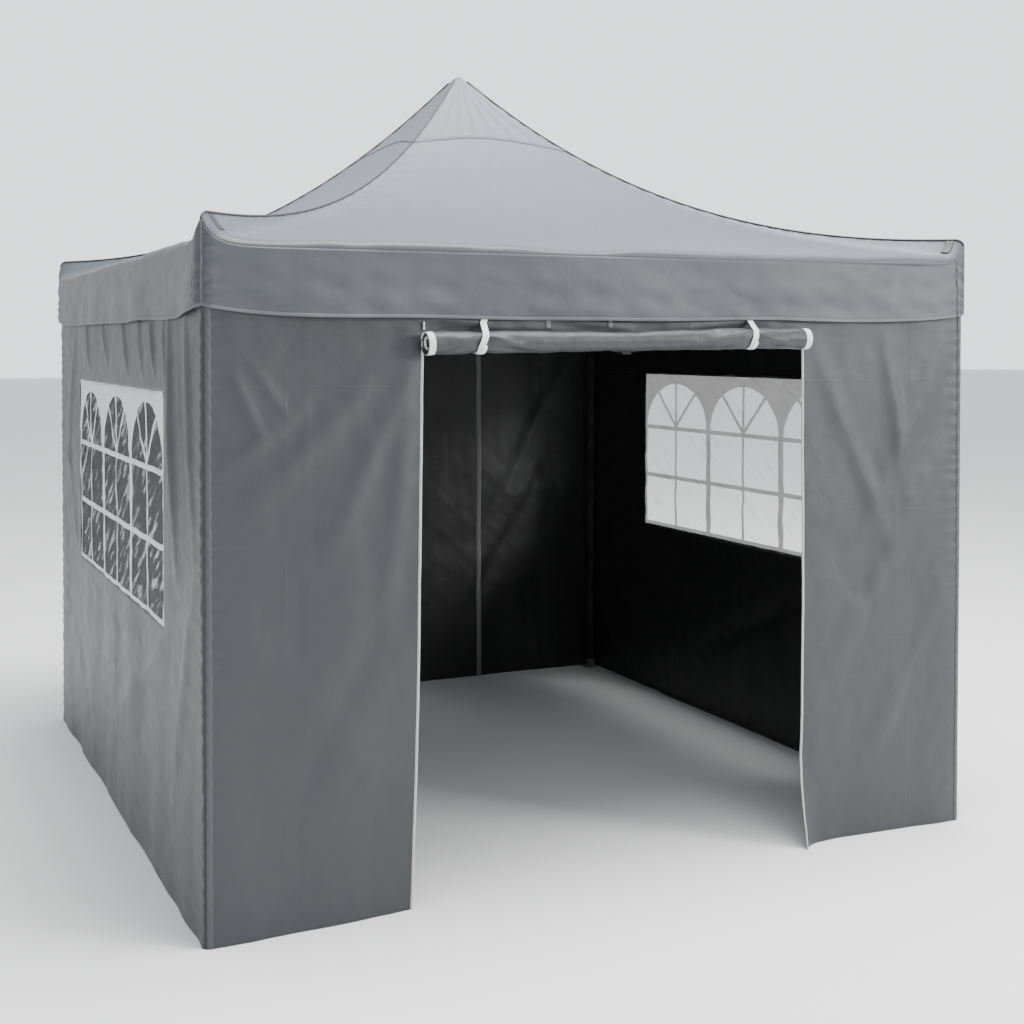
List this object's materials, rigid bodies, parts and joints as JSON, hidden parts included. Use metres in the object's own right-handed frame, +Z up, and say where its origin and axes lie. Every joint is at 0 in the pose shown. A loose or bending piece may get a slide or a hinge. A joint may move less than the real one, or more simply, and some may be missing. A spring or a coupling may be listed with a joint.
{
  "type": "pop-up gazebo tent",
  "caption": "Square pop-up shelter with a peaked canopy on a folding scissor-truss frame and hung side walls with windows and a roll-up door.",
  "frame": {"origin": "centre of the footprint, on the ground", "axes": "+X to the right along the doorway wall, seen from outside; +Y from the doorway wall to the back wall; +Z up"},
  "size_m": [3, 3.0685, 3.0288],
  "materials": {
    "frame_steel": "satin powder coat",
    "bracket_plastic": "moulded nylon",
    "cap_plastic": "moulded nylon",
    "pin_plastic": "moulded knob",
    "canopy_fabric": "coated polyester",
    "valance_fabric": "coated polyester",
    "wall_fabric": "coated polyester",
    "door_fabric": "coated polyester, rolled",
    "window_film": "clear film",
    "webbing": "woven webbing"
  },
  "bodies": {
    "hub": {"centre_hub": "bracket_plastic", "valance": "valance_fabric"},
    "mast": {"mast": "frame_steel"},
    "mast_cap": {"mast_cap": "cap_plastic"},
    "strut_front": {"centre_strut_front": "frame_steel"},
    "mid_lower_front": {"mid_joint_lower_front": "bracket_plastic"},
    "mid_upper_front": {"mid_joint_upper_front": "bracket_plastic", "wall_front": "wall_fabric", "door_roll": "door_fabric", "door_straps": "webbing"},
    "canopy_front": {"canopy_panel_front": "canopy_fabric"},
    "bar_high_front_a": {"truss_bar_high_front_a": "frame_steel"},
    "bar_low_front_a": {"truss_bar_low_front_a": "frame_steel"},
    "leg_front_left": {"outer_leg_front_left": "frame_steel"},
    "foot_front_left": {"inner_leg_front_left": "frame_steel"},
    "slider_front_left": {"slider_front_left": "bracket_plastic"},
    "slider_pin_front_left": {"slider_pin_front_left": "pin_plastic"},
    "bar_high_front_b": {"truss_bar_high_front_b": "frame_steel"},
    "bar_low_front_b": {"truss_bar_low_front_b": "frame_steel"},
    "leg_front_right": {"outer_leg_front_right": "frame_steel"},
    "foot_front_right": {"inner_leg_front_right": "frame_steel"},
    "slider_front_right": {"slider_front_right": "bracket_plastic"},
    "slider_pin_front_right": {"slider_pin_front_right": "pin_plastic"},
    "strut_right": {"centre_strut_right": "frame_steel"},
    "mid_lower_right": {"mid_joint_lower_right": "bracket_plastic"},
    "mid_upper_right": {"mid_joint_upper_right": "bracket_plastic", "wall_right": "wall_fabric", "window_right": "window_film"},
    "canopy_right": {"canopy_panel_right": "canopy_fabric"},
    "bar_high_right_a": {"truss_bar_high_right_a": "frame_steel"},
    "bar_low_right_a": {"truss_bar_low_right_a": "frame_steel"},
    "bar_high_right_b": {"truss_bar_high_right_b": "frame_steel"},
    "bar_low_right_b": {"truss_bar_low_right_b": "frame_steel"},
    "strut_back": {"centre_strut_back": "frame_steel"},
    "mid_lower_back": {"mid_joint_lower_back": "bracket_plastic"},
    "mid_upper_back": {"mid_joint_upper_back": "bracket_plastic", "wall_back": "wall_fabric"},
    "canopy_back": {"canopy_panel_back": "canopy_fabric"},
    "bar_high_back_a": {"truss_bar_high_back_a": "frame_steel"},
    "bar_low_back_a": {"truss_bar_low_back_a": "frame_steel"},
    "leg_back_right": {"outer_leg_back_right": "frame_steel"},
    "foot_back_right": {"inner_leg_back_right": "frame_steel"},
    "slider_back_right": {"slider_back_right": "bracket_plastic"},
    "slider_pin_back_right": {"slider_pin_back_right": "pin_plastic"},
    "bar_high_back_b": {"truss_bar_high_back_b": "frame_steel"},
    "bar_low_back_b": {"truss_bar_low_back_b": "frame_steel"},
    "leg_back_left": {"outer_leg_back_left": "frame_steel"},
    "foot_back_left": {"inner_leg_back_left": "frame_steel"},
    "slider_back_left": {"slider_back_left": "bracket_plastic"},
    "slider_pin_back_left": {"slider_pin_back_left": "pin_plastic"},
    "strut_left": {"centre_strut_left": "frame_steel"},
    "mid_lower_left": {"mid_joint_lower_left": "bracket_plastic"},
    "mid_upper_left": {"mid_joint_upper_left": "bracket_plastic", "wall_left": "wall_fabric", "window_left": "window_film"},
    "canopy_left": {"canopy_panel_left": "canopy_fabric"},
    "bar_high_left_a": {"truss_bar_high_left_a": "frame_steel"},
    "bar_low_left_a": {"truss_bar_low_left_a": "frame_steel"},
    "bar_high_left_b": {"truss_bar_high_left_b": "frame_steel"},
    "bar_low_left_b": {"truss_bar_low_left_b": "frame_steel"}
  },
  "joints": [
    {"name": "frame_fold", "type": "hinge", "parent": "hub", "child": "strut_front", "pos_m": [0, -0.04, 2.13], "axis": [1, 0, 0], "range_deg": [0, 72], "deforming": ["valance", "wall_front", "wall_right", "wall_back", "wall_left", "window_right", "window_left", "door_roll", "door_straps", "canopy_panel_front", "canopy_panel_right", "canopy_panel_back", "canopy_panel_left"]},
    {"name": "lower_joint_pivot_front", "type": "hinge", "parent": "strut_front", "child": "mid_lower_front", "pos_m": [0, -1.423, 1.83603], "axis": [1, 0, 0], "range_deg": [-72, 0]},
    {"name": "high_bar_pivot_front_a", "type": "hinge", "parent": "mid_lower_front", "child": "bar_high_front_a", "pos_m": [-0.032, -1.463, 1.83603], "axis": [0, 1, 0], "range_deg": [0, 72]},
    {"name": "crossing_pivot_front_a", "type": "hinge", "parent": "bar_high_front_a", "child": "bar_low_front_a", "pos_m": [-0.7235, -1.455, 1.98302], "axis": [0, 1, 0], "range_deg": [-144, 0]},
    {"name": "upper_joint_pivot_front", "type": "hinge", "parent": "bar_low_front_a", "child": "mid_upper_front", "pos_m": [-0.032, -1.447, 2.13], "axis": [0, 1, 0], "range_deg": [0, 72]},
    {"name": "leg_pivot_front_left", "type": "hinge", "parent": "bar_high_front_a", "child": "leg_front_left", "pos_m": [-1.415, -1.463, 2.13], "axis": [0, 1, 0], "range_deg": [-72, 0]},
    {"name": "slider_pivot_front_left", "type": "hinge", "parent": "bar_low_front_a", "child": "slider_front_left", "pos_m": [-1.415, -1.447, 1.83603], "axis": [0, 1, 0], "range_deg": [0, 72]},
    {"name": "leg_extension_front_left", "type": "slide", "parent": "leg_front_left", "child": "foot_front_left", "axis": [0, 0, 1], "range_m": [0, 0.45]},
    {"name": "slider_release_front_left", "type": "slide", "parent": "slider_front_left", "child": "slider_pin_front_left", "axis": [1, 0, 0], "range_m": [0, 0.006], "stiffness_N_per_m": 400},
    {"name": "high_bar_pivot_front_b", "type": "hinge", "parent": "mid_lower_front", "child": "bar_high_front_b", "pos_m": [0.032, -1.463, 1.83603], "axis": [0, -1, 0], "range_deg": [0, 72]},
    {"name": "crossing_pivot_front_b", "type": "hinge", "parent": "bar_high_front_b", "child": "bar_low_front_b", "pos_m": [0.7235, -1.455, 1.98302], "axis": [0, -1, 0], "range_deg": [-144, 0]},
    {"name": "leg_pivot_front_right", "type": "hinge", "parent": "bar_high_front_b", "child": "leg_front_right", "pos_m": [1.415, -1.463, 2.13], "axis": [0, -1, 0], "range_deg": [-72, 0]},
    {"name": "slider_pivot_front_right", "type": "hinge", "parent": "bar_low_front_b", "child": "slider_front_right", "pos_m": [1.415, -1.447, 1.83603], "axis": [0, -1, 0], "range_deg": [0, 72]},
    {"name": "leg_extension_front_right", "type": "slide", "parent": "leg_front_right", "child": "foot_front_right", "axis": [0, 0, 1], "range_m": [0, 0.45]},
    {"name": "slider_release_front_right", "type": "slide", "parent": "slider_front_right", "child": "slider_pin_front_right", "axis": [0, 1, 0], "range_m": [0, 0.006], "stiffness_N_per_m": 400},
    {"name": "canopy_hinge_front", "type": "hinge", "parent": "mast", "child": "canopy_front", "pos_m": [0, 0, 3.03], "axis": [1, 0, 0], "range_deg": [0, 56]},
    {"name": "strut_pivot_right", "type": "hinge", "parent": "hub", "child": "strut_right", "pos_m": [0.04, 0, 2.13], "axis": [0, 1, 0], "range_deg": [0, 72]},
    {"name": "lower_joint_pivot_right", "type": "hinge", "parent": "strut_right", "child": "mid_lower_right", "pos_m": [1.423, 0, 1.83603], "axis": [0, 1, 0], "range_deg": [-72, 0]},
    {"name": "high_bar_pivot_right_a", "type": "hinge", "parent": "mid_lower_right", "child": "bar_high_right_a", "pos_m": [1.463, -0.032, 1.83603], "axis": [-1, 0, 0], "range_deg": [0, 72]},
    {"name": "crossing_pivot_right_a", "type": "hinge", "parent": "bar_high_right_a", "child": "bar_low_right_a", "pos_m": [1.455, -0.7235, 1.98302], "axis": [-1, 0, 0], "range_deg": [-144, 0]},
    {"name": "upper_joint_pivot_right", "type": "hinge", "parent": "bar_low_right_a", "child": "mid_upper_right", "pos_m": [1.447, -0.032, 2.13], "axis": [-1, 0, 0], "range_deg": [0, 72]},
    {"name": "high_bar_pivot_right_b", "type": "hinge", "parent": "mid_lower_right", "child": "bar_high_right_b", "pos_m": [1.463, 0.032, 1.83603], "axis": [1, 0, 0], "range_deg": [0, 72]},
    {"name": "crossing_pivot_right_b", "type": "hinge", "parent": "bar_high_right_b", "child": "bar_low_right_b", "pos_m": [1.455, 0.7235, 1.98302], "axis": [1, 0, 0], "range_deg": [-144, 0]},
    {"name": "canopy_hinge_right", "type": "hinge", "parent": "mast", "child": "canopy_right", "pos_m": [0, 0, 3.03], "axis": [0, 1, 0], "range_deg": [0, 56]},
    {"name": "strut_pivot_back", "type": "hinge", "parent": "hub", "child": "strut_back", "pos_m": [0, 0.04, 2.13], "axis": [-1, 0, 0], "range_deg": [0, 72]},
    {"name": "lower_joint_pivot_back", "type": "hinge", "parent": "strut_back", "child": "mid_lower_back", "pos_m": [0, 1.423, 1.83603], "axis": [-1, 0, 0], "range_deg": [-72, 0]},
    {"name": "high_bar_pivot_back_a", "type": "hinge", "parent": "mid_lower_back", "child": "bar_high_back_a", "pos_m": [0.032, 1.463, 1.83603], "axis": [0, -1, 0], "range_deg": [0, 72]},
    {"name": "crossing_pivot_back_a", "type": "hinge", "parent": "bar_high_back_a", "child": "bar_low_back_a", "pos_m": [0.7235, 1.455, 1.98302], "axis": [0, -1, 0], "range_deg": [-144, 0]},
    {"name": "upper_joint_pivot_back", "type": "hinge", "parent": "bar_low_back_a", "child": "mid_upper_back", "pos_m": [0.032, 1.447, 2.13], "axis": [0, -1, 0], "range_deg": [0, 72]},
    {"name": "leg_pivot_back_right", "type": "hinge", "parent": "bar_high_back_a", "child": "leg_back_right", "pos_m": [1.415, 1.463, 2.13], "axis": [0, -1, 0], "range_deg": [-72, 0]},
    {"name": "slider_pivot_back_right", "type": "hinge", "parent": "bar_low_back_a", "child": "slider_back_right", "pos_m": [1.415, 1.447, 1.83603], "axis": [0, -1, 0], "range_deg": [0, 72]},
    {"name": "leg_extension_back_right", "type": "slide", "parent": "leg_back_right", "child": "foot_back_right", "axis": [0, 0, 1], "range_m": [0, 0.45]},
    {"name": "slider_release_back_right", "type": "slide", "parent": "slider_back_right", "child": "slider_pin_back_right", "axis": [-1, 0, 0], "range_m": [0, 0.006], "stiffness_N_per_m": 400},
    {"name": "high_bar_pivot_back_b", "type": "hinge", "parent": "mid_lower_back", "child": "bar_high_back_b", "pos_m": [-0.032, 1.463, 1.83603], "axis": [0, 1, 0], "range_deg": [0, 72]},
    {"name": "crossing_pivot_back_b", "type": "hinge", "parent": "bar_high_back_b", "child": "bar_low_back_b", "pos_m": [-0.7235, 1.455, 1.98302], "axis": [0, 1, 0], "range_deg": [-144, 0]},
    {"name": "leg_pivot_back_left", "type": "hinge", "parent": "bar_high_back_b", "child": "leg_back_left", "pos_m": [-1.415, 1.463, 2.13], "axis": [0, 1, 0], "range_deg": [-72, 0]},
    {"name": "slider_pivot_back_left", "type": "hinge", "parent": "bar_low_back_b", "child": "slider_back_left", "pos_m": [-1.415, 1.447, 1.83603], "axis": [0, 1, 0], "range_deg": [0, 72]},
    {"name": "leg_extension_back_left", "type": "slide", "parent": "leg_back_left", "child": "foot_back_left", "axis": [0, 0, 1], "range_m": [0, 0.45]},
    {"name": "slider_release_back_left", "type": "slide", "parent": "slider_back_left", "child": "slider_pin_back_left", "axis": [0, -1, 0], "range_m": [0, 0.006], "stiffness_N_per_m": 400},
    {"name": "canopy_hinge_back", "type": "hinge", "parent": "mast", "child": "canopy_back", "pos_m": [0, 0, 3.03], "axis": [-1, 0, 0], "range_deg": [0, 56]},
    {"name": "strut_pivot_left", "type": "hinge", "parent": "hub", "child": "strut_left", "pos_m": [-0.04, 0, 2.13], "axis": [0, -1, 0], "range_deg": [0, 72]},
    {"name": "lower_joint_pivot_left", "type": "hinge", "parent": "strut_left", "child": "mid_lower_left", "pos_m": [-1.423, 0, 1.83603], "axis": [0, -1, 0], "range_deg": [-72, 0]},
    {"name": "high_bar_pivot_left_a", "type": "hinge", "parent": "mid_lower_left", "child": "bar_high_left_a", "pos_m": [-1.463, 0.032, 1.83603], "axis": [1, 0, 0], "range_deg": [0, 72]},
    {"name": "crossing_pivot_left_a", "type": "hinge", "parent": "bar_high_left_a", "child": "bar_low_left_a", "pos_m": [-1.455, 0.7235, 1.98302], "axis": [1, 0, 0], "range_deg": [-144, 0]},
    {"name": "upper_joint_pivot_left", "type": "hinge", "parent": "bar_low_left_a", "child": "mid_upper_left", "pos_m": [-1.447, 0.032, 2.13], "axis": [1, 0, 0], "range_deg": [0, 72]},
    {"name": "high_bar_pivot_left_b", "type": "hinge", "parent": "mid_lower_left", "child": "bar_high_left_b", "pos_m": [-1.463, -0.032, 1.83603], "axis": [-1, 0, 0], "range_deg": [0, 72]},
    {"name": "crossing_pivot_left_b", "type": "hinge", "parent": "bar_high_left_b", "child": "bar_low_left_b", "pos_m": [-1.455, -0.7235, 1.98302], "axis": [-1, 0, 0], "range_deg": [-144, 0]},
    {"name": "canopy_hinge_left", "type": "hinge", "parent": "mast", "child": "canopy_left", "pos_m": [0, 0, 3.03], "axis": [0, -1, 0], "range_deg": [0, 56]},
    {"name": "mast_slide", "type": "slide", "parent": "hub", "child": "mast", "axis": [0, 0, 1], "range_m": [-0.8, 0]},
    {"name": "mast_spring", "type": "slide", "parent": "mast", "child": "mast_cap", "axis": [0, 0, 1], "range_m": [-0.02, 0], "stiffness_N_per_m": 1500, "springref_m": 0.01}
  ],
  "couplings": [
    {"joint": "lower_joint_pivot_front", "follows": "frame_fold", "ratio": -1},
    {"joint": "high_bar_pivot_front_a", "follows": "frame_fold", "ratio": 1},
    {"joint": "crossing_pivot_front_a", "follows": "frame_fold", "ratio": -2},
    {"joint": "upper_joint_pivot_front", "follows": "frame_fold", "ratio": 1},
    {"joint": "leg_pivot_front_left", "follows": "frame_fold", "ratio": -1},
    {"joint": "slider_pivot_front_left", "follows": "frame_fold", "ratio": 1},
    {"joint": "high_bar_pivot_front_b", "follows": "frame_fold", "ratio": 1},
    {"joint": "crossing_pivot_front_b", "follows": "frame_fold", "ratio": -2},
    {"joint": "leg_pivot_front_right", "follows": "frame_fold", "ratio": -1},
    {"joint": "slider_pivot_front_right", "follows": "frame_fold", "ratio": 1},
    {"joint": "canopy_hinge_front", "follows": "frame_fold", "ratio": 0.77778},
    {"joint": "strut_pivot_right", "follows": "frame_fold", "ratio": 1},
    {"joint": "lower_joint_pivot_right", "follows": "frame_fold", "ratio": -1},
    {"joint": "high_bar_pivot_right_a", "follows": "frame_fold", "ratio": 1},
    {"joint": "crossing_pivot_right_a", "follows": "frame_fold", "ratio": -2},
    {"joint": "upper_joint_pivot_right", "follows": "frame_fold", "ratio": 1},
    {"joint": "high_bar_pivot_right_b", "follows": "frame_fold", "ratio": 1},
    {"joint": "crossing_pivot_right_b", "follows": "frame_fold", "ratio": -2},
    {"joint": "canopy_hinge_right", "follows": "frame_fold", "ratio": 0.77778},
    {"joint": "strut_pivot_back", "follows": "frame_fold", "ratio": 1},
    {"joint": "lower_joint_pivot_back", "follows": "frame_fold", "ratio": -1},
    {"joint": "high_bar_pivot_back_a", "follows": "frame_fold", "ratio": 1},
    {"joint": "crossing_pivot_back_a", "follows": "frame_fold", "ratio": -2},
    {"joint": "upper_joint_pivot_back", "follows": "frame_fold", "ratio": 1},
    {"joint": "leg_pivot_back_right", "follows": "frame_fold", "ratio": -1},
    {"joint": "slider_pivot_back_right", "follows": "frame_fold", "ratio": 1},
    {"joint": "high_bar_pivot_back_b", "follows": "frame_fold", "ratio": 1},
    {"joint": "crossing_pivot_back_b", "follows": "frame_fold", "ratio": -2},
    {"joint": "leg_pivot_back_left", "follows": "frame_fold", "ratio": -1},
    {"joint": "slider_pivot_back_left", "follows": "frame_fold", "ratio": 1},
    {"joint": "canopy_hinge_back", "follows": "frame_fold", "ratio": 0.77778},
    {"joint": "strut_pivot_left", "follows": "frame_fold", "ratio": 1},
    {"joint": "lower_joint_pivot_left", "follows": "frame_fold", "ratio": -1},
    {"joint": "high_bar_pivot_left_a", "follows": "frame_fold", "ratio": 1},
    {"joint": "crossing_pivot_left_a", "follows": "frame_fold", "ratio": -2},
    {"joint": "upper_joint_pivot_left", "follows": "frame_fold", "ratio": 1},
    {"joint": "high_bar_pivot_left_b", "follows": "frame_fold", "ratio": 1},
    {"joint": "crossing_pivot_left_b", "follows": "frame_fold", "ratio": -2},
    {"joint": "canopy_hinge_left", "follows": "frame_fold", "ratio": 0.77778},
    {"joint": "mast_slide", "follows": "frame_fold", "m_per_rad": -0.63662}
  ]
}
